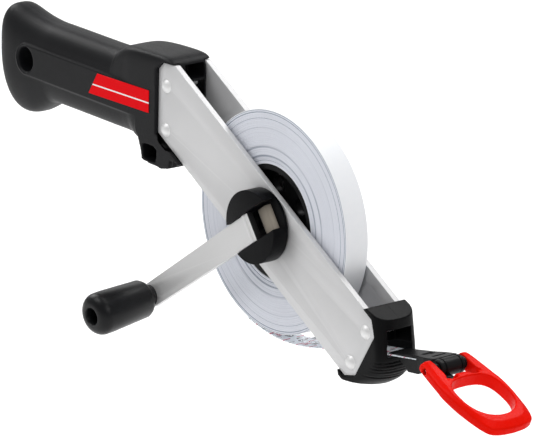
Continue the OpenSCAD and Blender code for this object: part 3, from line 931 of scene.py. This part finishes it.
def make_clip():
    """A tongue on the tape with a wedge below it, which widens towards the ring's barrel."""
    start, end = MOUTH_T - 1.5, CLIP_END - BARREL_R - 0.1
    under = CLIP_TOP - 0.4
    side = [
        (start, CLIP_TOP), (MOUTH_T + 20.5, CLIP_TOP), (MOUTH_T + 20.5, under), (MOUTH_T + 6.4, under),
        (MOUTH_T + 7, under - 2), (MOUTH_T + 9.6, under - 4.2), (MOUTH_T + 12.2, under - 6.8),
        (MOUTH_T + 19.6, under - 7), (MOUTH_T + 21.8, under - 3.4), (end - 0.9, under - 4.4),
        (end - 0.2, PIVOT_W), (end + 3.2, PIVOT_W + BARREL_R - 0.2), (end + 3.0, PIVOT_W + BARREL_R + 0.15),
        (MOUTH_T + 20, CLIP_TOP + 1.5), (start + 2, CLIP_TOP + 0.9),
        (start, CLIP_TOP + 0.6),
    ]
    clip = prism(side, -BARREL_HALF_W, BARREL_HALF_W, AT_TAPE)
    half_plan = [
        (start - CUT, 5.0), (MOUTH_T + 8, 5.4), (MOUTH_T + 20, 5.8), (MOUTH_T + 26, BARREL_HALF_W),
        (end + 4, BARREL_HALF_W),
    ]
    plan = [(x, -y) for x, y in half_plan] + half_plan[::-1]
    keep_inside(clip, plan_prism(plan, -80, 0, AT_TAPE))
    slots = [
        block((MOUTH_T + 18.5, MOUTH_T + 22.5), (-2.5, 3.5), (CLIP_TOP + 0.8, CLIP_TOP + 5), AT_TAPE),
        block((MOUTH_T + 27.5, MOUTH_T + 29), (-3.5, 4.5), (CLIP_TOP + 0.6, CLIP_TOP + 5), AT_TAPE),
    ]
    carve(clip, rod(BARREL_R + 0.05, -20, 20, AT_RING), *slots)
    moulded(clip, 0.25, 2)
    piece("tape_end_clip", clip, "tape_end", CLIP_PLASTIC, ["tape_clip"])
    rivet = bevelled(from_cad("clip_rivet"), 0.2, segments=2)
    piece("tape_end_rivet", rivet, "tape_end", PIN_METAL, ["clip_rivet"])


def make_barrel():
    """A barrel with two shallow grooves and a plain collar at each end."""
    collar_r, collar_y = RING_PIN_R + 1.4, EAR_INNER_Y - 0.3
    half, round_off = BARREL_HALF_W, 0.5
    bore_r = RING_PIN_R + 0.05
    profile = [(collar_r, -collar_y), (collar_r, -half)]
    profile += [(BARREL_R - round_off, -half), (BARREL_R, round_off - half)]
    for groove in (-4.6, 4.9):
        profile += [
            (BARREL_R, groove - 0.45), (BARREL_R - 0.4, groove - 0.25), (BARREL_R - 0.4, groove + 0.25),
            (BARREL_R, groove + 0.45),
        ]
    profile += [(BARREL_R, half - round_off), (BARREL_R - round_off, half)]
    profile += [(collar_r, half), (collar_r, collar_y), (bore_r, collar_y), (bore_r, -collar_y)]
    barrel = turned(profile, AT_RING, closed=True, segments=48)
    piece("tape_end_barrel", barrel, "tape_end", CLIP_PLASTIC, ["ring_barrel"])
    pin = bevelled(from_cad("ring_pin"), 0.3, segments=2)
    piece("tape_end_pin", pin, "tape_end", PIN_METAL, ["ring_pin"])


def make_hook():
    """A claw that hugs the barrel's underside and points forwards."""
    at_barrel = AT_TAPE @ place(CLIP_END, PIVOT_W)
    outline = arc((0, 0), BARREL_R - 0.1, 205, 318, 14)
    outline += [(5.6, -3.7), (4.9, -4.9), (4.0, -5.7)] + arc((0, 0), BARREL_R + 1.7, 290, 205, 10)
    hook = bevelled(prism(outline, -6.5, -1.5, at_barrel), 0.35, segments=2)
    piece("tape_end_hook", hook, "tape_end", CLIP_PLASTIC, ["zero_hook"])


# ---------- Finger ring ----------

def ring_band():
    """The band round the finger window: its faces rise to a crease, and dip again at the window."""
    outer = [
        (7.8, 0.0), (7.8, 4.0), (8.8, 7.0), (9.0, 10.0), (9.4, 13.6), (12.0, 16.0), (16.0, 17.1),
        (23.5, 17.1), (31.5, 16.3), (39.5, 15.2), (44.5, 13.9), (47.2, 12.6), (48.7, 10.4), (49.8, 6.4),
        (50.3, 0.0),
    ]
    inner = [
        (12.4, 0.0), (12.5, 3.5), (13.0, 7.0), (14.2, 9.8), (16.2, 11.8), (18.8, 12.9), (21.8, 13.5),
        (26.0, 13.7), (30.5, 13.3), (34.8, 11.7), (38.2, 9.0), (40.0, 6.2), (40.9, 3.6), (41.3, 1.6),
        (41.4, 0.0),
    ]
    section = [
        (0.0, 1.5), (0.05, 2.1), (0.25, 2.75), (0.44, 3.35), (0.52, 3.5), (0.75, 3.5), (0.94, 3.5),
        (1.0, 3.1),
    ]
    section += [(share, -height) for share, height in reversed(section)]
    half_ring = list(zip(smooth_table(outer, 4), smooth_table(inner, 4)))
    mirrored = [((a[0], -a[1]), (b[0], -b[1])) for a, b in reversed(half_ring[1:-1])]
    rings = []
    for far_point, near_point in half_ring + mirrored:
        rings.append([
            (near_point[0] * share + far_point[0] * (1 - share),
             near_point[1] * share + far_point[1] * (1 - share), height)
            for share, height in section
        ])
    return loft(rings, AT_RING, closed=True)


def ring_ears():
    """Squarish fingers on each side of the barrel, which carry the pin and run into the band."""
    inner_y = EAR_INNER_Y
    places = [
        (-EAR_R, 0.5, inner_y, 13.9), (-4.0, 0.72, inner_y, 14.3), (-2.8, 0.93, inner_y, 14.6),
        (0.0, 1.0, inner_y, EAR_OUTER_Y), (6.0, 1.0, inner_y, 15.9), (9.0, 1.0, inner_y + 0.3, 16.3),
        (12.0, 1.0, 11.6, 16.7), (15.0, 1.0, 13.2, 17.0), (18.0, 1.0, 14.2, 17.1),
    ]
    ears = []
    for side in SIDES:
        rings = []
        for x, height, inner, outer in places:
            section = [(inner, 3.5), (outer - 2.4, 3.5), (outer - 0.7, 2.3), (outer, 1.5)]
            section += [(y, -z) for y, z in reversed(section)]
            rings.append([(x, side * y, z * height) for y, z in section])
        ears.append(loft(rings, AT_RING))
    return ears


def ring_notches():
    """A round notch on each side of the barrel, which opens out upwards and stops at the ear."""
    centre_x, centre_y = 7.8, 6.7
    notches = []
    for side in SIDES:
        rings = []
        for z, radius in ((-6.0, 3.2), (-0.8, 3.2), (4.2, 4.5)):
            circle = arc((centre_x, centre_y), radius, 0, 348, 29)
            rings.append([(x, side * min(y, EAR_INNER_Y - 0.1), z) for x, y in circle])
        notches.append(loft(rings, AT_RING))
    return notches


def make_ring():
    ring = merge(ring_band(), *ring_ears())
    gap = block((-10, BARREL_R + 1.2), (-EAR_INNER_Y, EAR_INNER_Y), (-9, 9), AT_RING)
    carve(ring, gap, rod(RING_PIN_R + 0.05, -30, 30, AT_RING), *ring_notches())
    moulded(ring, 0.34, 5)
    piece("pull_ring_moulded", ring, "ring", RING_RED, ["pull_ring"])


# ---------- Studio ----------

def make_floor():
    size, level = 3000.0, -260.0
    corners = [(-size, -size), (size, -size), (size, size), (-size, size)]
    floor = solid([(x, y, level) for x, y in corners], [(0, 1, 2, 3)])
    floor.name = "studio_floor"
    floor.data.transform(TO_METRES)
    floor.data.materials.append(floor_paint("floor_paint"))


def make_light(name, place_at, aim, size, power):
    """A round soft light, with its place and size in metres and its power in watts."""
    lamp = bpy.data.lights.new(name, "AREA")
    lamp.shape = "DISK"
    lamp.size = size
    lamp.energy = power
    made = bpy.data.objects.new(name, lamp)
    made.location = place_at
    made.rotation_euler = (Vector(aim) - Vector(place_at)).to_track_quat("-Z", "Y").to_euler()
    bpy.context.collection.objects.link(made)


def make_lights():
    world = bpy.data.worlds.new("studio")
    world.use_nodes = True
    background = world.node_tree.nodes["Background"]
    background.inputs["Color"].default_value = (1.0, 1.0, 1.0, 1.0)
    background.inputs["Strength"].default_value = 0.37
    bpy.context.scene.world = world
    middle = (0.12, 0.0, -0.03)
    lights = [
        ("key", (-0.5, -0.9, 1.3), 0.9, 9.5),
        ("top", (0.3, 0.3, 1.5), 1.2, 6.0),
        ("ridge", (-1.2, 0.0, 0.8), 0.8, 8.0),
        ("back", (-0.05, 0.95, 1.25), 0.7, 7.5),
        ("rear", (-1.06, 0.96, 0.45), 0.7, 1.2),
        ("side", (1.5, -0.2, 0.9), 1.0, 6.0),
    ]
    for name, place_at, size, power in lights:
        make_light(name, place_at, middle, size, power)


def make_camera():
    """Looks down from the crank's side, towards the tape's end, with a slight roll."""
    turn, tilt, roll = math.radians(50.625), math.radians(17.483), math.radians(1.32)
    target, distance = Vector((0.1373, 0.0, -0.0404)), 2.2551
    camera = bpy.data.cameras.new("camera")
    camera.sensor_width = 36.0
    camera.lens = 316.4
    camera.clip_end = 20.0
    made = bpy.data.objects.new("camera", camera)
    aim = Matrix.Rotation(turn, 4, "Z") @ Matrix.Rotation(math.pi / 2 - tilt, 4, "X")
    aim = aim @ Matrix.Rotation(roll, 4, "Z")
    backwards = aim.col[2].to_3d()
    made.matrix_world = Matrix.Translation(target + distance * backwards) @ aim
    bpy.context.collection.objects.link(made)
    bpy.context.scene.camera = made
    bpy.context.scene.view_settings.view_transform = "Standard"


make_plates()
make_rivets()
make_handle()
make_label()
make_nose()
make_pack()
make_reel_parts()
make_spring()
make_crank()
make_knob()
make_tape()
make_clip()
make_barrel()
make_hook()
make_ring()
make_floor()
make_lights()
make_camera()
